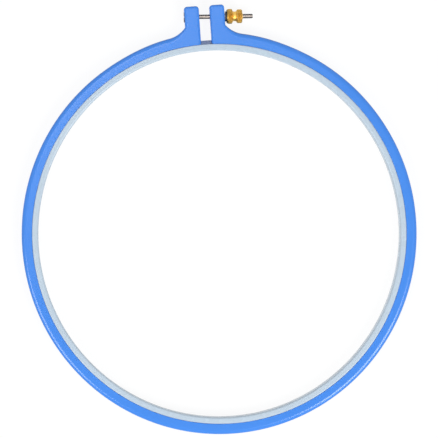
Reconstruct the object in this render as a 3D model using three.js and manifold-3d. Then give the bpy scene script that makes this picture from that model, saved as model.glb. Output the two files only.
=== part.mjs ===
// Embroidery hoop: a plain inner ring, a split outer ring that goes round it with the cloth
// in between, and the screw clamp that draws the split shut.
// Millimetres, +Z up. The hoop lies on its back with the front face up and the clamp at +Y.

import * as THREE from 'three';
import { mergeVertices } from 'three/addons/utils/BufferGeometryUtils.js';
import Module from 'manifold-3d';

const wasm = await Module();
wasm.setup();

// Rings. The sprung hoop stands a little out of round, longer towards the clamp.
const hoopDiameter = 254;
const outOfRound = 0.9;
const outerRingWidth = 6.3;
const outerRingHeight = 10;
const outerEdgeRadius = 1.2;
const boreChamfer = 0.4;
const clothClearance = 0.3;
const innerRingWall = 4;
const innerEdgeRadius = 0.9;
const lipOverhang = 2.5;
const lipThickness = 2;
const lipEdgeRadius = 0.5;
const restClearance = 0.1;

// Lugs on each side of the split, and how the ring thickens towards them
const splitGap = 6.9;
const lugThickness = 9.45;
const lugReach = 17.85;
const lugCornerRadius = 2;
const lugFootRadius = 18;
const lugFootInset = 4;
const lugRise = 0.65;
const riseAngle = 60;

// Screw and its holes, which run a little askew through the lugs
const screwSkew = 3;
const screwReach = 10.85;
const screwDiameter = 3;
const screwHoleClearance = 0.6;
const screwTail = 6.3;
const screwTipChamfer = 0.4;
const headDiameter = 7;
const headThickness = 2;
const headProud = 0.5;
const headEdgeRadius = 0.5;
const headClearance = 0.3;
const headSeatGap = 0.1;
const slotWidth = 1;
const slotDepth = 0.9;

// Washer and thumb nut
const threadClearance = 0.15;
const washerDiameter = 6.5;
const washerThickness = 0.8;
const washerClearance = 0.25;
const washerSeatGap = 0.35;
const nutSeatGap = 0.1;
const nutInnerBandDiameter = 9.5;
const nutInnerBandWidth = 3.7;
const nutOuterBandDiameter = 8.8;
const nutOuterBandWidth = 3.4;
const nutGrooveDiameter = 6.1;
const nutGrooveWidth = 2.9;
const nutBevel = 0.9;
const nutBossDiameter = 4.2;
const nutBossLength = 0.45;
const knurlCount = 36;
const knurlDepth = 0.25;

// How far a cutter runs past what it cuts
const cutOverrun = 1;

// Facets
const ringSegments = 96;
const ringStep = 360 / ringSegments;
const cornerStep = 18;
const footStep = 6;
const turnedSegments = 24;

// Radii and heights that follow from the sizes above
const outerRadius = hoopDiameter / 2;
const boreRadius = outerRadius - outerRingWidth;
const innerRingOutside = boreRadius - clothClearance;
const innerRingInside = innerRingOutside - innerRingWall;
const lipRadius = innerRingOutside + lipOverhang;
const outerRingBase = lipThickness + restClearance;
const frontFace = outerRingBase + outerRingHeight;
const acrossScale = 1 - outOfRound / outerRadius;
const alongScale = 1 + outOfRound / outerRadius;

// The clamp's places on the rings while they are round
const gapSide = splitGap / 2;
const lugSide = gapSide + lugThickness;
const headSeat = lugSide - (headThickness - headProud);
const lugTop = outerRadius + lugReach;
const screwAxisY = outerRadius + screwReach;
const screwAxisZ = outerRingBase + outerRingHeight / 2;
const screwHoleDiameter = screwDiameter + 2 * screwHoleClearance;
const counterboreDiameter = headDiameter + 2 * headClearance;

// Places along the screw, once the rings are sprung
const underHead = -headSeat * acrossScale - headSeatGap;
const washerStart = lugSide * acrossScale + washerSeatGap;
const nutStart = washerStart + washerThickness + nutSeatGap;
const nutLength = nutInnerBandWidth + nutGrooveWidth + nutOuterBandWidth + nutBossLength;
const screwTip = nutStart + nutLength + screwTail;

// The origin is under the middle of the whole hoop, so the ring sits a little towards -Y.
const ringCentreY = ((outerRadius - lugTop) / 2) * alongScale;

// Finishes
const bluePlastic = { color: 0x4f93f2, roughness: 0.35, metalness: 0 };
const palePlastic = { color: 0xc6d8ea, roughness: 0.4, metalness: 0 };
const screwSteel = { color: 0x8a8682, roughness: 0.35, metalness: 1 };
const washerSteel = { color: 0x6d6e72, roughness: 0.45, metalness: 1 };
const turnedBrass = { color: 0xcf9a3c, roughness: 0.35, metalness: 1 };

const degrees = Math.PI / 180;

// Points along an arc, both ends included; angles in degrees.
function arc(centreX, centreY, radius, from, to, step) {
  const count = Math.max(1, Math.ceil(Math.abs(to - from) / step - 1e-6));
  const points = [];
  for (let i = 0; i <= count; i += 1) {
    const angle = (from + ((to - from) * i) / count) * degrees;
    points.push(new THREE.Vector2(centreX + radius * Math.cos(angle), centreY + radius * Math.sin(angle)));
  }
  return points;
}

// A node: one named mesh with its own material.
function piece(name, geometry, finish) {
  const mesh = new THREE.Mesh(geometry, new THREE.MeshStandardMaterial(finish));
  mesh.name = name;
  return mesh;
}

// Shared vertices merged, so that the surface is one closed skin.
function weld(geometry) {
  const skin = geometry.clone();
  for (const attribute of ['normal', 'uv']) {
    skin.deleteAttribute(attribute);
  }
  return mergeVertices(skin, 1e-4);
}

// A closed mesh as a solid that can be joined and cut.
function solid(geometry) {
  const skin = weld(geometry);
  return new wasm.Manifold(new wasm.Mesh({
    numProp: 3,
    vertProperties: new Float32Array(skin.attributes.position.array),
    triVerts: new Uint32Array(skin.index.array),
  }));
}

function meshOf(body) {
  const result = body.getMesh();
  const geometry = new THREE.BufferGeometry();
  geometry.setAttribute('position', new THREE.BufferAttribute(result.vertProperties, 3));
  geometry.setIndex(new THREE.BufferAttribute(result.triVerts, 1));
  geometry.computeVertexNormals();
  return geometry;
}

// A profile of (radius, height) points turned about Z.
function turnAboutZ(profile, segments) {
  return new THREE.LatheGeometry(profile, segments).rotateX(Math.PI / 2);
}

// A profile of (radius, distance along X) points turned about X.
function turnAboutX(profile, segments) {
  return new THREE.LatheGeometry(profile, segments).rotateZ(-Math.PI / 2);
}

// A round bar along the screw's line, in the rings' frame, used as a cutter.
function screwBore(diameter, from, to) {
  const bore = new THREE.CylinderGeometry(diameter / 2, diameter / 2, to - from, turnedSegments);
  bore.rotateZ(Math.PI / 2);
  bore.translate((from + to) / 2, 0, 0);
  bore.rotateZ(-screwSkew * degrees);
  bore.translate(0, screwAxisY, screwAxisZ);
  return solid(bore);
}

// Inner ring: a plain wall with rounded front edges, and at the back a lip that reaches out
// under the outer ring and stops it.
function innerRing() {
  const r = innerEdgeRadius;
  const b = lipEdgeRadius;
  const profile = [
    ...arc(innerRingInside + b, b, b, 180, 270, 45),
    ...arc(lipRadius - b, b, b, 270, 360, 45),
    ...arc(lipRadius - b, lipThickness - b, b, 0, 90, 45),
    new THREE.Vector2(innerRingOutside, lipThickness),
    ...arc(innerRingOutside - r, frontFace - r, r, 0, 90, 30),
    ...arc(innerRingInside + r, frontFace - r, r, 90, 180, 30),
  ];
  profile.push(profile[0].clone());
  return turnAboutZ(profile, ringSegments);
}

// The ring's outer edge from the bottom up to the lug's foot, near which it swells a little.
function outerEdge(from, to) {
  return arc(0, 0, 1, from, to, ringStep).map((unit) => {
    const angle = Math.atan2(unit.y, unit.x) / degrees;
    const rise = lugRise * THREE.MathUtils.smoothstep(angle, riseAngle, to);
    return unit.multiplyScalar(outerRadius + rise);
  });
}

// Outline of half of the outer ring's blank with its lug, seen from the front, on the +X
// side. The lug's foot is an arc that leaves the ring smoothly and meets the lug at an angle.
// At the bottom the outline runs straight on past the middle, and inside it is left too small,
// so that the cuts there take the rounded edges with them.
function halfOutline() {
  const spare = 2 * outerEdgeRadius;
  const blankBore = boreRadius - spare;
  const footX = lugSide + lugFootRadius - lugFootInset;
  const footY = Math.sqrt((outerRadius + lugRise + lugFootRadius) ** 2 - footX ** 2);
  const footAngle = Math.atan2(footY, footX) / degrees;
  const footEnd = 180 + Math.acos(1 - lugFootInset / lugFootRadius) / degrees;
  const mouthAngle = Math.acos(gapSide / blankBore) / degrees;
  const cornerY = lugTop - lugCornerRadius;
  return [
    new THREE.Vector2(-spare, -outerRadius),
    ...outerEdge(-90, footAngle),
    ...arc(footX, footY, lugFootRadius, 180 + footAngle, footEnd, footStep).slice(1),
    ...arc(lugSide - lugCornerRadius, cornerY, lugCornerRadius, 0, 90, cornerStep),
    ...arc(gapSide + lugCornerRadius, cornerY, lugCornerRadius, 90, 180, cornerStep),
    ...arc(0, 0, blankBore, mouthAngle, -90, ringStep),
    new THREE.Vector2(-spare, -blankBore),
  ];
}

// What the outer ring's bore takes away, with a small chamfer at the back and the front.
function boreCutter() {
  const flare = boreRadius + boreChamfer + cutOverrun;
  return solid(turnAboutZ([
    new THREE.Vector2(0, outerRingBase - cutOverrun),
    new THREE.Vector2(flare, outerRingBase - cutOverrun),
    new THREE.Vector2(boreRadius, outerRingBase + boreChamfer),
    new THREE.Vector2(boreRadius, frontFace - boreChamfer),
    new THREE.Vector2(flare, frontFace + cutOverrun),
    new THREE.Vector2(0, frontFace + cutOverrun),
  ], ringSegments));
}

// Half of the split outer ring with its lug, before drilling.
function outerRingHalf() {
  const blank = new THREE.ExtrudeGeometry(new THREE.Shape(halfOutline()), {
    depth: outerRingHeight - 2 * outerEdgeRadius,
    bevelEnabled: true,
    bevelThickness: outerEdgeRadius,
    bevelSize: outerEdgeRadius,
    bevelOffset: -outerEdgeRadius,
    bevelSegments: 2,
  });
  blank.translate(0, 0, outerRingBase + outerEdgeRadius);
  const otherSide = new THREE.BoxGeometry(hoopDiameter, 2 * hoopDiameter, 2 * frontFace + cutOverrun);
  otherSide.translate(-hoopDiameter / 2, 0, 0);
  return solid(blank).subtract(boreCutter()).subtract(solid(otherSide));
}

// The half on the nut's side has only the clearance hole.
function outerRingNutHalf() {
  const hole = screwBore(screwHoleDiameter, gapSide - cutOverrun, lugSide + cutOverrun);
  return meshOf(outerRingHalf().subtract(hole));
}

// The half on the head's side has the clearance hole and a counterbore for the head.
function outerRingScrewHalf() {
  const hole = screwBore(screwHoleDiameter, -lugSide - cutOverrun, -gapSide + cutOverrun);
  const counterbore = screwBore(counterboreDiameter, -lugSide - cutOverrun, -headSeat);
  return meshOf(outerRingHalf().mirror([1, 0, 0]).subtract(hole).subtract(counterbore));
}

// Clamp screw: low round head with a screwdriver slot, plain shank to a chamfered tip.
function clampScrew() {
  const head = headDiameter / 2;
  const shank = screwDiameter / 2;
  const crown = underHead - headThickness;
  const e = headEdgeRadius;
  const profile = [
    new THREE.Vector2(0, crown),
    ...arc(head - e, crown + e, e, 270, 360, 30),
    new THREE.Vector2(head, underHead),
    new THREE.Vector2(shank, underHead),
    new THREE.Vector2(shank, screwTip - screwTipChamfer),
    new THREE.Vector2(shank - screwTipChamfer, screwTip),
    new THREE.Vector2(0, screwTip),
  ];
  const slot = new THREE.BoxGeometry(2 * slotDepth, slotWidth, headDiameter + cutOverrun);
  slot.translate(crown, 0, 0);
  return meshOf(solid(turnAboutX(profile, turnedSegments)).subtract(solid(slot)));
}

// Washer: a flat ring that spreads the nut's push on the plastic.
function washer() {
  const bore = screwDiameter / 2 + washerClearance;
  const rim = washerDiameter / 2;
  const profile = [
    new THREE.Vector2(bore, washerStart),
    new THREE.Vector2(rim, washerStart),
    new THREE.Vector2(rim, washerStart + washerThickness),
    new THREE.Vector2(bore, washerStart + washerThickness),
    new THREE.Vector2(bore, washerStart),
  ];
  return turnAboutX(profile, turnedSegments);
}

// Thumb nut: two knurled bands, the one beside the washer larger, a round groove between
// them and a short boss at the free end. Every other line of the turning is sunk on the
// bands, which cuts the knurl.
function thumbNut() {
  const bore = screwDiameter / 2 + threadClearance;
  const innerBand = nutInnerBandDiameter / 2;
  const outerBand = nutOuterBandDiameter / 2;
  const boss = nutBossDiameter / 2;
  const floor = nutGrooveDiameter / 2;
  const b = nutBevel;
  const grooveStart = nutStart + nutInnerBandWidth;
  const grooveMiddle = grooveStart + nutGrooveWidth / 2;
  const bandEnd = grooveStart + nutGrooveWidth + nutOuterBandWidth;
  const groove = arc(0, 0, 1, 270, 90, 30).map((unit) => new THREE.Vector2(
    outerBand + (outerBand - floor) * unit.x,
    grooveMiddle + (nutGrooveWidth / 2) * unit.y,
  ));
  const profile = [
    new THREE.Vector2(bore, nutStart),
    new THREE.Vector2(innerBand - b, nutStart),
    ...arc(innerBand - b, nutStart + b, b, 270, 360, 45).slice(1),
    new THREE.Vector2(innerBand, grooveStart),
    ...groove,
    ...arc(outerBand - b / 2, bandEnd - b / 2, b / 2, 0, 90, 45),
    new THREE.Vector2(boss, bandEnd),
    new THREE.Vector2(boss, bandEnd + nutBossLength),
    new THREE.Vector2(bore, bandEnd + nutBossLength),
    new THREE.Vector2(bore, nutStart),
  ];
  const geometry = new THREE.LatheGeometry(profile, 2 * knurlCount);
  const position = geometry.attributes.position;
  for (let i = 0; i < position.count; i += 1) {
    const line = Math.floor(i / profile.length);
    const radius = Math.hypot(position.getX(i), position.getZ(i));
    const along = position.getY(i);
    const crest = along < grooveMiddle ? innerBand : outerBand;
    if (line % 2 === 1 && radius > crest - knurlDepth) {
      const scale = (crest - knurlDepth) / radius;
      position.setX(i, position.getX(i) * scale);
      position.setZ(i, position.getZ(i) * scale);
    }
  }
  return geometry.rotateZ(-Math.PI / 2);
}

// The rings and the clamp, all about the ring's centre.
const rings = new THREE.Group();
rings.scale.set(acrossScale, alongScale, 1);
rings.add(piece('inner_ring', innerRing(), palePlastic));
rings.add(piece('outer_ring_screw_half', outerRingScrewHalf(), bluePlastic));
rings.add(piece('outer_ring_nut_half', outerRingNutHalf(), bluePlastic));

const clamp = new THREE.Group();
clamp.position.set(0, screwAxisY * alongScale, screwAxisZ);
clamp.rotation.z = -screwSkew * degrees;
clamp.add(piece('clamp_screw', clampScrew(), screwSteel));
clamp.add(piece('washer', washer(), washerSteel));
clamp.add(piece('thumb_nut', thumbNut(), turnedBrass));

const hoop = new THREE.Group();
hoop.position.set(0, ringCentreY, 0);
hoop.add(rings, clamp);

export default hoop;
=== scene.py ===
from math import acos, atan2, cos, pi, radians, sin, sqrt

import bmesh
import bpy
from mathutils import Matrix, Vector


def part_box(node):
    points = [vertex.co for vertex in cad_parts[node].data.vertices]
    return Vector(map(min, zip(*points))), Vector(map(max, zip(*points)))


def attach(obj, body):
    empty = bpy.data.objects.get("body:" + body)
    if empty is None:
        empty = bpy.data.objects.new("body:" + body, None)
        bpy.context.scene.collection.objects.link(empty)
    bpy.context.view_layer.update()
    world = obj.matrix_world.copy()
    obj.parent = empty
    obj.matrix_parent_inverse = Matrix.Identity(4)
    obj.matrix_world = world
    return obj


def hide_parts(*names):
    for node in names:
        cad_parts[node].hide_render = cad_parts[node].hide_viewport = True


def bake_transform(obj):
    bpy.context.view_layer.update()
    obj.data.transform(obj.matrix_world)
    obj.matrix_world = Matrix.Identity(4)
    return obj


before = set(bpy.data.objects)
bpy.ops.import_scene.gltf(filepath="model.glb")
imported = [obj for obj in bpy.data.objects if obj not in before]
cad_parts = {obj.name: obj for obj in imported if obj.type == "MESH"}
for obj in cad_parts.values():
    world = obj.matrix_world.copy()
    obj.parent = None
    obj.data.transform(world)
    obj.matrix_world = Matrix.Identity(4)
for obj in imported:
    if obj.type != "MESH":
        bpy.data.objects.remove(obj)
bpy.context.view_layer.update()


# Inner ring: the pale plastic ring that the cloth is laid over. It is one injection moulding, a
# plain upright wall with rounded front edges and, round its back, a lip that stops the outer
# ring. Nothing is fixed to it: the outer ring grips it through the cloth. Both rings are drawn
# round and then sprung slightly out of round, longer towards the clamp.

mm = 0.001
ring_low, ring_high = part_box("inner_ring")
ring_y = (ring_low[1] + ring_high[1]) / 2
ring_front = ring_high[2]
out_of_round = 0.9 / 127
inner_ring_outside = 120.4 * mm
inner_ring_wall = 4.1 * mm
inner_ring_edge = 1.4 * mm
cloth_edge = 0.6 * mm
lip_edge = 122.9 * mm
lip_thickness = 2 * mm
lip_rounding = 0.5 * mm
lip_fillet = 0.3 * mm
front_segments = 8
lip_segments = 5
fillet_segments = 4
ring_steps = 288
smooth_below = radians(35)
weld = 0.002 * mm


def begin(add, name, **place):
    """Adds one primitive by itself, names it and opens it for editing."""
    bpy.ops.object.select_all(action="DESELECT")
    add(**place)
    work = bpy.context.object
    work.name = name
    work.data.name = name
    bpy.ops.object.mode_set(mode="EDIT")
    return work


def pick(work, kind, test):
    """Selects only the points, edges or faces whose middle passes the test."""
    bpy.ops.mesh.select_mode(type=kind)
    bpy.ops.mesh.select_all(action="DESELECT")
    net = bmesh.from_edit_mesh(work.data)
    for item in {"VERT": net.verts, "EDGE": net.edges, "FACE": net.faces}[kind]:
        corners = [item] if kind == "VERT" else item.verts
        middle = sum((work.matrix_world @ c.co for c in corners), Vector()) / len(corners)
        if test(middle, item):
            item.select_set(True)
    net.select_flush_mode()
    bmesh.update_edit_mesh(work.data)


def merge_points():
    """Selects all of the piece that is being edited and merges the points that meet."""
    bpy.ops.mesh.select_all(action="SELECT")
    bpy.ops.mesh.remove_doubles(threshold=weld)


def close_up(work):
    """Merges what meets, turns the faces outwards and puts the place into the mesh."""
    merge_points()
    bpy.ops.mesh.normals_make_consistent(inside=False)
    bpy.ops.object.mode_set(mode="OBJECT")
    bpy.ops.object.transform_apply(location=True, rotation=True, scale=True)


def near(value, place, slack=0.01 * mm):
    return abs(value - place) < slack


def spring():
    """Stretches the ring that is being edited towards the clamp, and narrows it across."""
    bpy.ops.mesh.select_all(action="SELECT")
    stretch = (1 - out_of_round, 1 + out_of_round, 1)
    bpy.ops.transform.resize(value=stretch, center_override=(0, ring_y, 0))


def draw_inner_ring():
    middle = inner_ring_outside - inner_ring_wall / 2
    work = begin(
        bpy.ops.mesh.primitive_plane_add,
        "inner_ring_moulding",
        size=1,
        location=(middle, ring_y, ring_front / 2),
        rotation=(pi / 2, 0, 0),
    )
    bpy.ops.transform.resize(value=(inner_ring_wall, 1, ring_front))
    bpy.ops.mesh.bisect(plane_co=(0, 0, lip_thickness), plane_no=(0, 0, 1))
    pick(work, "EDGE", lambda p, e: near(p.x, inner_ring_outside) and p.z < lip_thickness)
    overhang = lip_edge - inner_ring_outside
    bpy.ops.mesh.extrude_region_move(TRANSFORM_OT_translate={"value": (overhang, 0, 0)})
    pick(work, "EDGE", lambda p, e: len(e.link_faces) == 2)
    bpy.ops.mesh.dissolve_edges(use_verts=False)
    inside = inner_ring_outside - inner_ring_wall
    roundings = [
        (inner_ring_edge, front_segments, lambda p: near(p.z, ring_front) and near(p.x, inside)),
        (cloth_edge, front_segments, lambda p: near(p.z, ring_front) and near(p.x, inner_ring_outside)),
        (lip_rounding, lip_segments, lambda p: near(p.x, lip_edge)),
        (lip_rounding, lip_segments, lambda p: near(p.x, inside) and near(p.z, 0)),
        (
            lip_fillet,
            fillet_segments,
            lambda p: near(p.x, inner_ring_outside) and near(p.z, lip_thickness),
        ),
    ]
    for radius, segments, at_corner in roundings:
        pick(work, "VERT", lambda p, v, at_corner=at_corner: at_corner(p))
        bpy.ops.mesh.bevel(offset=radius, segments=segments, affect="VERTICES")
    bpy.ops.mesh.select_mode(type="FACE")
    bpy.ops.mesh.select_all(action="SELECT")
    bpy.ops.mesh.delete(type="ONLY_FACE")
    bpy.ops.mesh.select_mode(type="EDGE")
    bpy.ops.mesh.select_all(action="SELECT")
    bpy.ops.mesh.spin(steps=ring_steps, angle=2 * pi, center=(0, ring_y, 0), axis=(0, 0, 1))
    spring()
    close_up(work)
    bpy.ops.object.shade_smooth_by_angle(angle=smooth_below)
    return work


inner_ring = draw_inner_ring()


def shader(name):
    """A new material with an empty tree but for its Principled shader."""
    material = bpy.data.materials.new(name)
    material.use_nodes = True
    tree = material.node_tree
    return material, tree, tree.nodes["Principled BSDF"]


def group_of_nodes(name, inputs, outputs):
    """An empty node group with these named inputs (with defaults) and outputs."""
    tree = bpy.data.node_groups.new(name, "ShaderNodeTree")
    for label, value in inputs.items():
        kind = "NodeSocketFloat" if isinstance(value, (int, float)) else "NodeSocketColor"
        tree.interface.new_socket(label, in_out="INPUT", socket_type=kind).default_value = value
    for label, kind in outputs.items():
        tree.interface.new_socket(label, in_out="OUTPUT", socket_type=kind)
    return tree, tree.nodes.new("NodeGroupInput"), tree.nodes.new("NodeGroupOutput")


def add_node(tree, kind, links=(), **settings):
    """A node with these settings; links gives its inputs by number or name."""
    node = tree.nodes.new("ShaderNode" + kind)
    for name, value in settings.items():
        setattr(node, name, value)
    for socket, source in dict(links).items():
        if hasattr(source, "is_output"):
            tree.links.new(source, node.inputs[socket])
        else:
            node.inputs[socket].default_value = source
    return node


def noise(tree, where, scale, detail=2.0):
    """Even cloudy noise from 0 to 1; the scale is in cells a metre."""
    node = add_node(tree, "TexNoise", {"Vector": where, "Scale": scale, "Detail": detail})
    return node.outputs["Fac"]


def arithmetic(tree, operation, *values):
    return add_node(tree, "Math", enumerate(values), operation=operation).outputs[0]


def spread(tree, value, low, high, new_low, new_high):
    """Value taken from the range low to high to the range new_low to new_high."""
    links = {"Value": value, 1: low, 2: high, 3: new_low, 4: new_high}
    return add_node(tree, "MapRange", links).outputs["Result"]


def blend_colours(tree, share, first, second):
    node = add_node(tree, "Mix", data_type="RGBA")
    for socket, source in ((0, share), (6, first), (7, second)):
        if hasattr(source, "is_output"):
            tree.links.new(source, node.inputs[socket])
        else:
            node.inputs[socket].default_value = source
    return node.outputs[2]


def moulded_plastic_group():
    """Slow streaks of colour where the plastic flowed, a fine spark-eroded grain and rub marks."""
    streak_scale = 28
    rub_scale = 160
    wave_scale = 250
    grain_scale = 3200
    grain_share = 0.2
    tree, given, made = group_of_nodes(
        "moulded plastic",
        {
            "Colour": (0.5, 0.5, 0.5, 1),
            "Streak colour": (0.6, 0.6, 0.6, 1),
            "Streaks": 0.5,
            "Gloss": 0.35,
            "Rub": 0.1,
        },
        {"Colour": "NodeSocketColor", "Roughness": "NodeSocketFloat", "Height": "NodeSocketFloat"},
    )
    place = add_node(tree, "TexCoord").outputs["Object"]
    streak = spread(tree, noise(tree, place, streak_scale, 3), 0.35, 0.7, 0, 1)
    share = arithmetic(tree, "MULTIPLY", streak, given.outputs["Streaks"])
    colour = blend_colours(tree, share, given.outputs["Colour"], given.outputs["Streak colour"])
    tree.links.new(colour, made.inputs["Colour"])
    rubbed = spread(tree, noise(tree, place, rub_scale, 5), 0.45, 0.75, 0, 1)
    rub = arithmetic(tree, "MULTIPLY", rubbed, given.outputs["Rub"])
    tree.links.new(arithmetic(tree, "ADD", given.outputs["Gloss"], rub), made.inputs["Roughness"])
    waves = arithmetic(tree, "MULTIPLY", noise(tree, place, wave_scale, 1), 1 - grain_share)
    grain = arithmetic(tree, "MULTIPLY", noise(tree, place, grain_scale, 1), grain_share)
    tree.links.new(arithmetic(tree, "ADD", waves, grain), made.inputs["Height"])
    return tree


moulded_plastic = moulded_plastic_group()
grain_depth = 0.03 * mm
plastic_ior = 1.56


def lay_on(tree, body, effect, strength, depth):
    """Joins a shared effect's colour, roughness and relief to the Principled shader."""
    relief = {"Strength": strength, "Distance": depth, "Height": effect.outputs["Height"]}
    bump = add_node(tree, "Bump", relief)
    tree.links.new(effect.outputs["Colour"], body.inputs["Base Color"])
    tree.links.new(effect.outputs["Roughness"], body.inputs["Roughness"])
    tree.links.new(bump.outputs["Normal"], body.inputs["Normal"])


def plastic(name, colour, streak_colour, streaks, gloss, rub, relief):
    """A moulded plastic with its own colours, laid over the shared effect."""
    material, tree, body = shader(name)
    effect = add_node(tree, "Group", node_tree=moulded_plastic)
    effect.inputs["Colour"].default_value = (*colour, 1)
    effect.inputs["Streak colour"].default_value = (*streak_colour, 1)
    effect.inputs["Streaks"].default_value = streaks
    effect.inputs["Gloss"].default_value = gloss
    effect.inputs["Rub"].default_value = rub
    lay_on(tree, body, effect, relief, grain_depth)
    body.inputs["IOR"].default_value = plastic_ior
    return material


pale_plastic = plastic(
    "pale plastic",
    colour=(0.55, 0.67, 0.785),
    streak_colour=(0.58, 0.7, 0.81),
    streaks=0.6,
    gloss=0.26,
    rub=0.08,
    relief=0.09,
)
inner_ring.data.materials.append(pale_plastic)
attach(inner_ring, "inner")
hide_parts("inner_ring")


# Outer ring: the blue plastic ring that springs over the inner one. It is one moulding, split at
# the top, with a square lug on each side of the split that grows out of the ring in a wide curve.
# Both lugs are drilled for the screw, and the left one is counterbored for its head.

outer_radius = 127 * mm
bore_radius = 120.45 * mm
outer_base = 2.1 * mm
outer_front = 12.1 * mm
ring_shoulder = 3 * mm
shoulder_flatness = 0.65
lug_rounding = 1.5 * mm
bore_rounding = 0.25 * mm
mouth_rounding = 0.8 * mm
gap_side = 3.45 * mm
lug_side = 12.9 * mm
lug_top = 144.85 * mm
lug_corner = 2 * mm
foot_radius = 18 * mm
foot_inset = 4 * mm
lug_rise = 0.65 * mm
rise_start = radians(60)
shoulder_segments = 8
half_ring_steps = 240
foot_steps = 40
sharp_turn = radians(60)
hole_segments = 3
drill_sides = 64
corner_steps = 12
mouth_steps = 10
screw_from_ring_centre = 137.85 * mm
screw_height = 7.1 * mm
screw_middle = Vector((0, ring_y + screw_from_ring_centre * (1 + out_of_round), screw_height))
screw_skew = radians(3)
screw_hole = 4.2 * mm
counterbore = 7.6 * mm
head_sunk = 1.5 * mm
hole_rounding = 0.25 * mm


def put_pen(name, start):
    """A new object with one selected point, to draw on from."""
    work = begin(bpy.ops.mesh.primitive_plane_add, name, size=mm, location=start)
    bpy.ops.mesh.select_mode(type="VERT")
    bpy.ops.mesh.select_all(action="SELECT")
    bpy.ops.mesh.merge(type="CENTER")
    return work


def turn(steps, anticlockwise, about):
    """Draws on from the selected points along an arc about an upright line."""
    bpy.ops.mesh.spin(steps=steps, angle=-anticlockwise, center=(*about, 0), axis=(0, 0, 1))


def draw(dx, dy):
    """Draws a straight line on from the selected point."""
    bpy.ops.mesh.extrude_vertices_move(TRANSFORM_OT_translate={"value": (dx, dy, 0)})


def finish_with(work, kind, **settings):
    """Gives the piece a modifier with these settings and applies it."""
    bpy.context.view_layer.objects.active = work
    step = work.modifiers.new(kind, kind)
    for name, value in settings.items():
        setattr(step, name, value)
    bpy.ops.object.modifier_apply(modifier=step.name)


def eased(share):
    """A share from 0 to 1 that starts and ends gently."""
    share = min(max(share, 0), 1)
    return share * share * (3 - 2 * share)


foot_edge = outer_radius + lug_rise
foot_x = lug_side + foot_radius - foot_inset
foot_y = sqrt((foot_edge + foot_radius) ** 2 - foot_x ** 2)
foot_angle = atan2(foot_y, foot_x)
foot_end = acos(1 - foot_inset / foot_radius)
foot_top = foot_y - foot_radius * sin(foot_end)


def draw_in_edge(work):
    """Brings the outer edge in to the ring's own width, little by little below the foot."""
    net = bmesh.from_edit_mesh(work.data)
    for point in net.verts:
        place = work.matrix_world @ point.co - Vector((0, ring_y, outer_base))
        angle = atan2(place.y, place.x)
        if near(place.length, foot_edge) and angle < foot_angle:
            rise = lug_rise * eased((angle - rise_start) / (foot_angle - rise_start))
            point.co += place.normalized() * (rise - lug_rise)
    bmesh.update_edit_mesh(work.data)


def draw_outer_ring():
    foot = (foot_x, ring_y + foot_y)
    mouth_angle = acos(gap_side / bore_radius)
    mouth_y = ring_y + bore_radius * sin(mouth_angle)
    corner_y = ring_y + lug_top - lug_corner
    centre = (0, ring_y)
    start = (foot_edge * cos(foot_angle), ring_y + foot_edge * sin(foot_angle), outer_base)
    work = put_pen("outer_ring_moulding", start)
    turn(foot_steps, foot_end - foot_angle, foot)
    draw(0, corner_y - ring_y - foot_top)
    turn(corner_steps, pi / 2, (lug_side - lug_corner, corner_y))
    draw(-(lug_side - gap_side - 2 * lug_corner), 0)
    turn(corner_steps, pi / 2, (gap_side + lug_corner, corner_y))
    draw(0, mouth_y - corner_y)
    turn(mouth_steps, foot_angle - mouth_angle, centre)
    width = foot_edge - bore_radius
    draw(width * cos(foot_angle), width * sin(foot_angle))
    merge_points()
    bpy.ops.mesh.edge_face_add()
    middle = bore_radius + width / 2
    radial = Vector((middle * cos(foot_angle), ring_y + middle * sin(foot_angle), outer_base))
    pick(work, "EDGE", lambda p, e: (p - radial).length < 0.1 * mm)
    turn(half_ring_steps, -(pi / 2 + foot_angle), centre)
    merge_points()
    draw_in_edge(work)
    bpy.ops.mesh.select_all(action="SELECT")
    height = outer_front - outer_base
    bpy.ops.mesh.extrude_region_move(TRANSFORM_OT_translate={"value": (0, 0, height)})
    pick(work, "FACE", lambda p, f: near(p.x, 0) and near(p.z, outer_base + height / 2))
    bpy.ops.mesh.delete(type="ONLY_FACE")
    close_up(work)
    finish_with(work, "MIRROR", use_axis=(True, False, False), merge_threshold=10 * weld)
    return work


outer_ring = draw_outer_ring()


def lug_share(point):
    """How far a point of the outline belongs to a lug: 0 on the ring, 1 from the foot's end on."""
    angle = abs(atan2(point.x, point.y - ring_y))
    foot_start = pi / 2 - foot_angle
    return eased((foot_start - angle) / (foot_start - atan2(lug_side, foot_top)))


def round_outer_ring(work):
    """Softens every edge: a full shoulder on the ring, less on the lugs, and least at the bore."""
    net = bmesh.new()
    net.from_mesh(work.data)
    amount = net.edges.layers.float.new("bevel_weight_edge")
    for edge in net.edges:
        if len(edge.link_faces) < 2:
            continue
        turned = edge.calc_face_angle(0)
        first, last = (point.co for point in edge.verts)
        middle = (first + last) / 2
        reach = sqrt(middle.x ** 2 + (middle.y - ring_y) ** 2)
        level = near(first.z, last.z, 1 * mm)
        if turned < sharp_turn:
            edge[amount] = 0
        elif level and near(reach, bore_radius, 0.3 * mm):
            edge[amount] = bore_rounding / ring_shoulder
        elif level:
            share = lug_share(middle)
            edge[amount] = (share * lug_rounding + (1 - share) * ring_shoulder) / ring_shoulder
        else:
            edge[amount] = mouth_rounding / ring_shoulder
    net.to_mesh(work.data)
    net.free()
    finish_with(
        work,
        "BEVEL",
        width=ring_shoulder,
        segments=shoulder_segments,
        limit_method="WEIGHT",
        use_clamp_overlap=False,
        miter_outer="MITER_SHARP",
    )
    for point in work.data.vertices:
        for face in (outer_front, outer_base):
            if near(point.co.z, face, ring_shoulder + weld):
                point.co.z = face + (point.co.z - face) * shoulder_flatness
    bpy.ops.object.mode_set(mode="EDIT")
    spring()
    bpy.ops.object.mode_set(mode="OBJECT")


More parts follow.
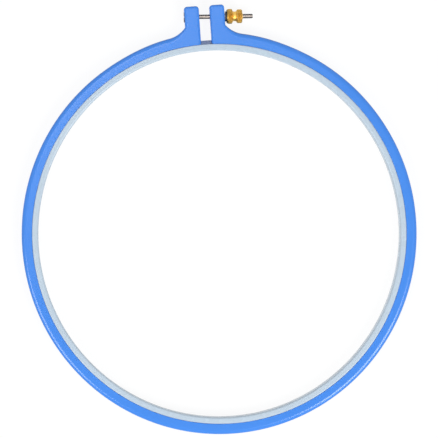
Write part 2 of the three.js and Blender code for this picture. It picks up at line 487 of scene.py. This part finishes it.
round_outer_ring(outer_ring)
gap_face = gap_side * (1 - out_of_round)
lug_face = lug_side * (1 - out_of_round)


def on_screw(along):
    """The point this far along X from the screw's middle, before the screw is laid askew."""
    return screw_middle + Vector((along, 0, 0))


def lay_askew():
    """Turns the piece that is being edited to the screw's slightly slanting line."""
    bpy.ops.mesh.select_all(action="SELECT")
    bpy.ops.transform.rotate(value=screw_skew, orient_axis="Z", center_override=screw_middle)


def off_screw(point):
    """A point's distance from the screw's slanting line."""
    line = Vector((cos(screw_skew), -sin(screw_skew), 0))
    offset = point - screw_middle
    return (offset - offset.dot(line) * line).length


def round_bar(name, sides, radius, start, end):
    """A round bar from start to end along the screw's line, before it is laid askew."""
    return begin(
        bpy.ops.mesh.primitive_cylinder_add,
        name,
        vertices=sides,
        radius=radius,
        depth=end - start,
        location=on_screw((start + end) / 2),
        rotation=(0, pi / 2, 0),
    )


def combine(work, other, operation):
    """Cuts the other piece away, joins it on or keeps what both share, and clears it away."""
    finish_with(work, "BOOLEAN", object=other, operation=operation, solver="EXACT")
    bpy.data.objects.remove(other)


def drill(work, diameter, start, end):
    """Cuts a round hole along the screw's line, from start to end."""
    tool = round_bar("drill", drill_sides, diameter / 2, start, end)
    lay_askew()
    bpy.ops.object.mode_set(mode="OBJECT")
    combine(work, tool, "DIFFERENCE")


drill(outer_ring, screw_hole, gap_face - mm, lug_face + mm)
drill(outer_ring, screw_hole, -lug_face - mm, -gap_face + mm)
drill(outer_ring, counterbore, -lug_face - mm, -lug_face + head_sunk)


def soften_holes(work):
    """Breaks the rims of the holes in the lugs."""
    bpy.ops.object.select_all(action="DESELECT")
    work.select_set(True)
    bpy.context.view_layer.objects.active = work
    bpy.ops.object.mode_set(mode="EDIT")
    rims = [
        (screw_hole, gap_face),
        (screw_hole, lug_face),
        (screw_hole, -gap_face),
        (counterbore, -lug_face),
    ]

    def on_rim(p, e):
        if e.calc_face_angle(0) < sharp_turn:
            return False
        return any(near(off_screw(p), d / 2, 0.1 * mm) and near(p.x, x, 0.05 * mm) for d, x in rims)

    pick(work, "EDGE", on_rim)
    bpy.ops.mesh.bevel(offset=hole_rounding, segments=hole_segments, affect="EDGES", clamp_overlap=False)
    bpy.ops.mesh.select_all(action="SELECT")
    bpy.ops.object.mode_set(mode="OBJECT")
    bpy.ops.object.shade_smooth_by_angle(angle=smooth_below)
    finish_with(work, "WEIGHTED_NORMAL", weight=100, keep_sharp=True, mode="FACE_AREA")


soften_holes(outer_ring)

blue_plastic = plastic(
    "blue plastic",
    colour=(0.038, 0.264, 0.91),
    streak_colour=(0.048, 0.282, 0.94),
    streaks=0.55,
    gloss=0.19,
    rub=0.05,
    relief=0.07,
)
outer_ring.data.materials.append(blue_plastic)
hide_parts("outer_ring_screw_half", "outer_ring_nut_half")
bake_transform(outer_ring)


# Clamp screw: a zinc-plated steel machine screw, M3 with a slotted cheese head, threaded all along.
# Its head sits in the left lug's counterbore and its shank passes through both lugs to the nut.

thread_radius = 1.5 * mm
thread_root = 1.21 * mm
pitch = 0.5 * mm
crest_width = 0.2 * mm
root_width = 0.08 * mm
thread_steps = 24
screw_tip = 30.81 * mm
tip_chamfer = 0.4 * mm
head_radius = 3.5 * mm
head_thickness = 1.75 * mm
head_back = -11.42 * mm
head_rounding = 0.45 * mm
head_back_rounding = 0.1 * mm
slot_width = 1 * mm
slot_depth = 0.9 * mm
turned_sides = 96
metal_smooth_below = radians(28)


def spin_thread():
    """One turn of the thread's outline, screwed along the shank and cut square at both ends."""
    start = head_back - 3 * pitch
    turns = int((screw_tip - start) / pitch) + 4
    work = put_pen("thread", on_screw(start))
    bpy.ops.transform.translate(value=(0, thread_root, 0))
    rise = thread_radius - thread_root
    flank = (pitch - crest_width - root_width) / 2
    for dx, dy in ((root_width, 0), (flank, rise), (crest_width, 0), (flank, -rise)):
        draw(dx, dy)
    bpy.ops.object.mode_set(mode="OBJECT")
    finish_with(
        work,
        "SCREW",
        axis="X",
        screw_offset=pitch,
        iterations=turns,
        steps=thread_steps,
        render_steps=thread_steps,
    )
    bpy.ops.object.mode_set(mode="EDIT")
    merge_points()
    cuts = ((head_back - pitch, (1, 0, 0)), (screw_tip + pitch, (-1, 0, 0)))
    for place, direction in cuts:
        bpy.ops.mesh.select_all(action="SELECT")
        bpy.ops.mesh.bisect(
            plane_co=(place, 0, 0),
            plane_no=direction,
            use_fill=True,
            clear_inner=True,
            threshold=0.1 * weld,
        )
    close_up(work)
    return work


clamp_screw = spin_thread()


def turn_bar(name, radius, start, end, roundings):
    """A round bar along the screw's line, with the rim at each given place rounded or chamfered."""
    work = round_bar(name, turned_sides, radius, start, end)
    for place, amount, segments in roundings:
        pick(work, "EDGE", lambda p, e: all(near((work.matrix_world @ v.co).x, place) for v in e.verts))
        bpy.ops.mesh.bevel(offset=amount, segments=segments, affect="EDGES")
    close_up(work)
    return work


def make_screw(shank):
    """Chamfers the thread's tip, and joins the slotted head to it."""
    over_thread = thread_radius + 0.02 * mm
    blank = turn_bar("blank", over_thread, head_back - mm, screw_tip, [(screw_tip, tip_chamfer, 1)])
    combine(shank, blank, "INTERSECT")
    crown = head_back - head_thickness
    rims = [(crown, head_rounding, 5), (head_back, head_back_rounding, 2)]
    head = turn_bar("head", head_radius, crown, head_back, rims)
    cutter = begin(bpy.ops.mesh.primitive_cube_add, "slot", size=1, location=on_screw(crown))
    bpy.ops.transform.resize(value=(2 * slot_depth, slot_width, 3 * head_radius))
    bpy.ops.object.mode_set(mode="OBJECT")
    combine(head, cutter, "DIFFERENCE")
    combine(shank, head, "UNION")
    shank.name = "clamp_screw_threaded"
    bpy.ops.object.select_all(action="DESELECT")
    shank.select_set(True)
    bpy.ops.object.mode_set(mode="EDIT")
    lay_askew()
    close_up(shank)
    bpy.ops.object.shade_smooth_by_angle(angle=metal_smooth_below)


make_screw(clamp_screw)


def place_on_screw(tree):
    """The place on the surface, with X along the screw's line from the middle of the split."""
    turned = add_node(
        tree,
        "VectorRotate",
        {
            "Vector": add_node(tree, "TexCoord").outputs["Object"],
            "Center": screw_middle,
            "Angle": screw_skew,
        },
        rotation_type="Z_AXIS",
    )
    links = {0: turned.outputs[0], 1: screw_middle}
    return add_node(tree, "VectorMath", links, operation="SUBTRACT").outputs[0]


def worked_metal_group():
    """A metal surface with fine marks round the screw's line and dull cloudy patches."""
    marks_scale = (9000, 400, 400)
    cloud_scale = 900
    wear_amount = 0.12
    tree, given, made = group_of_nodes(
        "worked metal",
        {"Bright": (0.6, 0.6, 0.6, 1), "Dull": (0.4, 0.4, 0.4, 1), "Roughness": 0.3, "Marks": 0.5},
        {"Colour": "NodeSocketColor", "Roughness": "NodeSocketFloat", "Height": "NodeSocketFloat"},
    )
    place = place_on_screw(tree)
    along = add_node(tree, "Mapping", {"Vector": place, "Scale": marks_scale}).outputs[0]
    marks = noise(tree, along, 1, 2)
    cloud = spread(tree, noise(tree, place, cloud_scale, 4), 0.35, 0.7, 0, 1)
    colour = blend_colours(tree, cloud, given.outputs["Bright"], given.outputs["Dull"])
    tree.links.new(colour, made.inputs["Colour"])
    wear = arithmetic(tree, "MULTIPLY", arithmetic(tree, "ADD", marks, cloud), wear_amount)
    tree.links.new(arithmetic(tree, "ADD", given.outputs["Roughness"], wear), made.inputs["Roughness"])
    tree.links.new(arithmetic(tree, "MULTIPLY", marks, given.outputs["Marks"]), made.inputs["Height"])
    return tree


worked_metal = worked_metal_group()
mark_strength = 0.5
mark_depth = 0.01 * mm


def metal(name, bright, dull, roughness, marks):
    """A worked metal with its own colours; returns its tree too, for what only it has."""
    material, tree, body = shader(name)
    effect = add_node(tree, "Group", node_tree=worked_metal)
    effect.inputs["Bright"].default_value = (*bright, 1)
    effect.inputs["Dull"].default_value = (*dull, 1)
    effect.inputs["Roughness"].default_value = roughness
    effect.inputs["Marks"].default_value = marks
    lay_on(tree, body, effect, mark_strength, mark_depth)
    body.inputs["Metallic"].default_value = 1
    return material, tree, body, effect


def from_axis(tree):
    """The distance of the surface from the screw's line."""
    links = {0: place_on_screw(tree), 1: (0, 1, 1)}
    flat = add_node(tree, "VectorMath", links, operation="MULTIPLY").outputs[0]
    return add_node(tree, "VectorMath", {0: flat}, operation="LENGTH").outputs["Value"]


def along_axis(tree):
    """How far along the screw's line the surface is from the middle of the split."""
    return add_node(tree, "SeparateXYZ", {0: place_on_screw(tree)}).outputs["X"]


def darken(tree, body, effect, share, colour):
    """Lays a dark colour over the metal where the share is high: painted shade on the screw, grime and
    painted shade on the nut.
    """
    darkened = blend_colours(tree, share, effect.outputs["Colour"], (*colour, 1))
    tree.links.new(darkened, body.inputs["Base Color"])


def faces_eye(tree, quarter_turns):
    """How squarely the round of the screw, so many quarter turns further round, faces the eye."""
    links = {0: place_on_screw(tree), 1: (0, 1, 1)}
    way = add_node(tree, "VectorMath", links, operation="MULTIPLY").outputs[0]
    round_it = {"Vector": way, "Angle": quarter_turns * pi / 2}
    way = add_node(tree, "VectorRotate", round_it, rotation_type="X_AXIS").outputs[0]
    askew = {"Vector": way, "Angle": -screw_skew}
    way = add_node(tree, "VectorRotate", askew, rotation_type="Z_AXIS").outputs[0]
    frames = {"vector_type": "NORMAL", "convert_from": "OBJECT", "convert_to": "WORLD"}
    way = add_node(tree, "VectorTransform", {0: way}, **frames).outputs[0]
    weight = add_node(tree, "LayerWeight", {"Blend": 0.5, "Normal": way})
    return arithmetic(tree, "SUBTRACT", 1, weight.outputs["Facing"])


def painted_side_shade(tree):
    """Painted shade: 0 along the line of the screw that faces the eye, rising to 1 round its sides."""
    bright_to = radians(14)
    dark_from = radians(31)
    angle = arithmetic(tree, "ARCTAN2", faces_eye(tree, 1), faces_eye(tree, 0))
    return spread(tree, angle, bright_to, dark_from, 0, 1)


screw_steel, steel_tree, steel_body, steel_effect = metal(
    "zinc-plated steel",
    bright=(0.86, 0.77, 0.7),
    dull=(0.68, 0.6, 0.54),
    roughness=0.2,
    marks=0.4,
)
# Painted shade on the screw: the steel is darkened round the sides that turn from the eye, in the roots
# of the thread and over the whole head, sunk in its counterbore.
painted_shade_colour = (0.1, 0.09, 0.092)
painted_shade_in_thread = 0.45
head_edge = 0.2 * mm
reach = from_axis(steel_tree)
in_thread = spread(steel_tree, reach, thread_root, thread_radius, painted_shade_in_thread, 0)
on_head = spread(steel_tree, along_axis(steel_tree), head_back, head_back + head_edge, 1, 0)
painted_shade = arithmetic(steel_tree, "MAXIMUM", in_thread, painted_side_shade(steel_tree))
painted_shade = arithmetic(steel_tree, "MAXIMUM", painted_shade, on_head)
darken(steel_tree, steel_body, steel_effect, painted_shade, painted_shade_colour)
clamp_screw.data.materials.append(screw_steel)
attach(clamp_screw, "screw")
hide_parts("clamp_screw")


# Washer: a thin steel disc, stamped from sheet, with its burrs rounded off and dull; its very dark
# colour is painted shade for the gap between the lug and the nut. It is loose on the screw between the
# right lug and the nut, which presses it against the lug.

washer_start = 13.16 * mm
washer_end = 13.96 * mm
washer_radius = 3.25 * mm
washer_bore = 1.65 * mm
washer_edge = 0.12 * mm
washer_sides = 72


def stamp_washer():
    work = round_bar("washer_disc", washer_sides, washer_radius, washer_start, washer_end)
    pick(work, "FACE", lambda p, f: near(p.x, washer_start) or near(p.x, washer_end))
    bpy.ops.mesh.inset(thickness=washer_radius - washer_bore)
    bpy.ops.mesh.bridge_edge_loops()
    pick(work, "EDGE", lambda p, e: e.calc_face_angle(0) > sharp_turn)
    bpy.ops.mesh.bevel(offset=washer_edge, segments=3, affect="EDGES")
    lay_askew()
    close_up(work)
    bpy.ops.object.shade_smooth_by_angle(angle=smooth_below)
    return work


washer = stamp_washer()
# The washer's very dark steel is painted shade for the gap between the lug and the nut.
washer_steel_painted_dark = metal(
    "stamped steel",
    bright=(0.16, 0.165, 0.18),
    dull=(0.09, 0.09, 0.1),
    roughness=0.38,
    marks=0.4,
)[0]
washer.data.materials.append(washer_steel_painted_dark)
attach(washer, "washer")
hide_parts("washer")


# Thumb nut: brass, turned from bar. Two bands with a fine diamond knurl for the fingers, a round
# groove between them, a chamfer towards the washer and a short boss at the free end.

nut_start = 14.06 * mm
inner_band_radius = 4.75 * mm
inner_band_width = 3.7 * mm
outer_band_radius = 4.4 * mm
outer_band_width = 3.4 * mm
groove_radius = 3.05 * mm
groove_width = 2.9 * mm
nut_chamfer = 0.9 * mm
band_edge = 0.25 * mm
boss_radius = 2.1 * mm
boss_length = 0.3 * mm
nut_bore = 1.58 * mm
bore_chamfer = 0.25 * mm
boss_edge = 0.1 * mm
end_rounding = 1.6 * band_edge
groove_side = 0.2 * mm
groove_slope = 0.08 * mm
knurl_depth = 0.22 * mm
knurl_valley = 0.16 * mm
knurl_columns = 44
knurl_rows = 4


def turn_nut():
    """Draws half the nut's section from the bore round to the bore, and spins it."""
    work = put_pen("thumb_nut_turned", on_screw(nut_start))
    bpy.ops.transform.translate(value=(0, nut_bore + bore_chamfer, 0))
    inner_floor = inner_band_radius - knurl_depth
    outer_floor = outer_band_radius - knurl_depth
    groove_start = nut_start + inner_band_width
    groove_end = groove_start + groove_width
    band_end = groove_end + outer_band_width
    at = [nut_start, nut_bore + bore_chamfer]

    def to(x, radius):
        draw(x - at[0], radius - at[1])
        at[0], at[1] = x, radius

    def curve(middle, half_width, height, angles, steps):
        first, last = angles
        for step in range(steps + 1):
            angle = first + (last - first) * step / steps
            to(middle[0] + half_width * cos(angle), middle[1] + height * sin(angle))

    def band(start_x, end_x, radius):
        for row in range(knurl_rows + 1):
            to(start_x + (end_x - start_x) * row / knurl_rows, radius)

    shoulder = (nut_start + nut_chamfer, inner_floor - nut_chamfer)
    curve(shoulder, nut_chamfer, nut_chamfer, (pi, pi / 2 + 0.2), 6)
    band(nut_start + nut_chamfer, groove_start - band_edge, inner_floor)
    to(groove_start, inner_floor - band_edge)
    to(groove_start + groove_slope, outer_floor - band_edge)
    over_groove = ((groove_start + groove_end) / 2, outer_floor - band_edge)
    depth = over_groove[1] - groove_radius
    curve(over_groove, groove_width / 2 - groove_side, depth, (pi + 0.15, 2 * pi - 0.15), 12)
    to(groove_end, outer_floor - band_edge)
    band(groove_end + band_edge, band_end - 2 * band_edge, outer_floor)
    end = (band_end - end_rounding, outer_floor - end_rounding)
    curve(end, end_rounding, end_rounding, (pi / 3, 0), 4)
    boss_end = band_end + boss_length
    to(band_end, boss_radius + boss_edge)
    to(band_end + boss_edge, boss_radius)
    to(boss_end - boss_edge, boss_radius)
    to(boss_end, boss_radius - boss_edge)
    to(boss_end, nut_bore + bore_chamfer)
    to(boss_end - bore_chamfer, nut_bore)
    to(nut_start + bore_chamfer, nut_bore)
    to(nut_start, nut_bore + bore_chamfer)
    merge_points()
    bpy.ops.mesh.select_all(action="SELECT")
    bpy.ops.mesh.spin(steps=knurl_columns, angle=2 * pi, center=screw_middle, axis=(1, 0, 0))
    merge_points()
    bpy.ops.mesh.normals_make_consistent(inside=False)
    bands = [
        (nut_start + nut_chamfer, groove_start - band_edge, inner_floor),
        (groove_end + band_edge, band_end - 2 * band_edge, outer_floor),
    ]
    return work, bands


thumb_nut, knurled_bands = turn_nut()


def cut_knurl(work, bands):
    """Turns the bands' squares into diamonds and raises each one to a blunt point."""

    def in_band(p):
        reach = sqrt((p.y - screw_middle.y) ** 2 + (p.z - screw_middle.z) ** 2)
        return any(
            first < p.x < last and reach > floor - 0.1 * mm for first, last, floor in bands
        )

    def is_square_line(p, e):
        line = e.verts[1].co - e.verts[0].co
        across = sqrt(line.y ** 2 + line.z ** 2)
        return in_band(p) and (abs(line.x) < 0.01 * mm or across < 0.01 * mm)

    pick(work, "FACE", lambda p, f: in_band(p))
    bpy.ops.mesh.poke(offset=0)
    pick(work, "EDGE", is_square_line)
    bpy.ops.mesh.dissolve_edges(use_verts=False)
    pick(work, "FACE", lambda p, f: in_band(p))
    bpy.ops.mesh.inset(
        thickness=knurl_valley, depth=knurl_depth, use_individual=True, use_even_offset=True
    )


cut_knurl(thumb_nut, knurled_bands)
lay_askew()
close_up(thumb_nut)
bpy.ops.object.shade_smooth_by_angle(angle=metal_smooth_below)

brass, brass_tree, brass_body, brass_effect = metal(
    "turned brass",
    bright=(0.88, 0.57, 0.14),
    dull=(0.68, 0.41, 0.095),
    roughness=0.28,
    marks=0.6,
)
# Grime in the knurl's valleys and painted shade on the chamfer by the washer share this dark colour.
grime_and_shade_colour = (0.16, 0.085, 0.02)
grime_in_valleys = 0.5
painted_shade_on_chamfer = 0.75


def grime_and_shade_on_nut(tree):
    """Share of darkening: some grime down in the knurl's valleys, and most on the chamfer by the washer,
    as painted shade.
    """
    valley_top = 0.05 * mm
    valley_floor = 0.19 * mm
    groove_top = 0.3 * mm
    groove_wall = 0.5 * mm
    chamfer_fade = 0.4 * mm
    reach = from_axis(tree)
    along = along_axis(tree)
    middle = nut_start + inner_band_width + groove_width / 2
    beyond = arithmetic(tree, "GREATER_THAN", along, middle)
    crest = spread(tree, beyond, 0, 1, inner_band_radius, outer_band_radius)
    sunk = arithmetic(tree, "SUBTRACT", crest, reach)
    valley = spread(tree, sunk, valley_top, valley_floor, 0, grime_in_valleys)
    above_groove = spread(tree, sunk, groove_top, groove_wall, 1, 0)
    in_knurl = arithmetic(tree, "MULTIPLY", valley, above_groove)
    chamfer_end = nut_start + nut_chamfer
    # Painted shade on the chamfer that faces the washer.
    on_chamfer = spread(tree, along, chamfer_end - chamfer_fade, chamfer_end, painted_shade_on_chamfer, 0)
    return arithmetic(tree, "MAXIMUM", in_knurl, on_chamfer)


darken(brass_tree, brass_body, brass_effect, grime_and_shade_on_nut(brass_tree), grime_and_shade_colour)
thumb_nut.data.materials.append(brass)
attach(thumb_nut, "nut")
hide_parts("thumb_nut")


# The white table that the hoop lies on, and the white room round it. The table shows white to the
# camera but keeps a faint shadow of the hoop.

table_width = 8
table_drop = 0.02 * mm
table_glow = 0.91
table_colour = (0.85, 0.85, 0.85, 1)
shadow_share = (0.12, 0.12, 0.12, 1)
white = (1, 1, 1, 1)
light_on_object = 0.29


def sees_white(tree):
    """1 for the rays that see a plain white room: the camera's, mirrored and let-through ones."""
    ray = add_node(tree, "LightPath")
    seen = arithmetic(tree, "MAXIMUM", ray.outputs["Is Camera Ray"], ray.outputs["Is Glossy Ray"])
    return arithmetic(tree, "MAXIMUM", seen, ray.outputs["Is Transmission Ray"])


def table_top():
    bpy.ops.object.select_all(action="DESELECT")
    bpy.ops.mesh.primitive_plane_add(size=table_width, location=(0, 0, -table_drop))
    top = bpy.context.object
    top.name = "table_top"
    material = bpy.data.materials.new("white table")
    material.use_nodes = True
    tree = material.node_tree
    tree.nodes.clear()
    matt = add_node(tree, "BsdfDiffuse", {"Color": table_colour})
    shaded = add_node(tree, "BsdfDiffuse", {"Color": shadow_share})
    glow = add_node(tree, "Emission", {"Color": white, "Strength": table_glow})
    both = add_node(tree, "AddShader", {0: shaded.outputs[0], 1: glow.outputs[0]})
    mix = add_node(tree, "MixShader", {0: sees_white(tree), 1: matt.outputs[0], 2: both.outputs[0]})
    out = add_node(tree, "OutputMaterial")
    tree.links.new(mix.outputs[0], out.inputs["Surface"])
    top.data.materials.append(material)


table_top()


def white_room():
    world = bpy.data.worlds.new("white room")
    bpy.context.scene.world = world
    world.use_nodes = True
    tree = world.node_tree
    tree.nodes.clear()
    soft = add_node(tree, "Background", {"Color": white, "Strength": light_on_object})
    plain = add_node(tree, "Background", {"Color": white, "Strength": 1})
    mix = add_node(tree, "MixShader", {0: sees_white(tree), 1: soft.outputs[0], 2: plain.outputs[0]})
    out = add_node(tree, "OutputWorld")
    tree.links.new(mix.outputs[0], out.inputs["Surface"])


white_room()


# Three soft boxes light the hoop at a plain level. Two stand half way up at the lower left and the
# lower right of the picture, and a weaker one hangs nearly overhead, towards the top left.

def soft_box(name, azimuth, elevation, distance, width, length, power):
    """A rectangular lamp that faces the hoop's middle; its length points away from the hoop."""
    light = bpy.data.lights.new(name, "AREA")
    light.shape = "RECTANGLE"
    light.size = width
    light.size_y = length
    light.energy = power
    lamp = bpy.data.objects.new(name, light)
    bpy.context.collection.objects.link(lamp)
    towards = Vector((cos(elevation) * cos(azimuth), cos(elevation) * sin(azimuth), sin(elevation)))
    lamp.location = towards * distance
    lamp.rotation_euler = towards.to_track_quat("Z", "Y").to_euler()


lamp_distance = 2.3
half_way_up = radians(53)
soft_box("left soft box", radians(212), half_way_up, lamp_distance, width=1.0, length=1.05, power=16.5)
soft_box("right soft box", radians(314), half_way_up, lamp_distance, width=0.95, length=1.05, power=23.5)
soft_box("top soft box", radians(118), radians(78), lamp_distance, width=0.6, length=0.75, power=3.6)


# The camera looks nearly straight down on the hoop, from a little to its left and top, and is
# rolled so that the clamp stands in the picture as it does in the photograph.

def place_camera():
    roll = radians(4.0)
    right = Vector((cos(roll), -sin(roll), 0))
    up = Vector((sin(roll), cos(roll), 0))
    frame_width = 0.2792
    distance = 2.8
    lean_left = radians(2.5)
    lean_up = radians(1.4)
    left_of_ring = 0.43 * mm
    above_ring = 9.6 * mm
    target = Vector((0, ring_y, outer_front)) - left_of_ring * right + above_ring * up
    away = (Vector((0, 0, 1)) - sin(lean_left) * right + sin(lean_up) * up).normalized()
    across = (right - right.dot(away) * away).normalized()
    rise = away.cross(across)
    data = bpy.data.cameras.new("camera")
    data.sensor_width = 36
    data.lens = data.sensor_width * distance / frame_width
    data.clip_end = 20
    camera = bpy.data.objects.new("camera", data)
    bpy.context.collection.objects.link(camera)
    placing = Matrix((across, rise, away)).transposed().to_4x4()
    placing.translation = target + distance * away
    camera.matrix_world = placing
    bpy.context.scene.camera = camera


place_camera()

bpy.context.scene.view_settings.view_transform = "Standard"
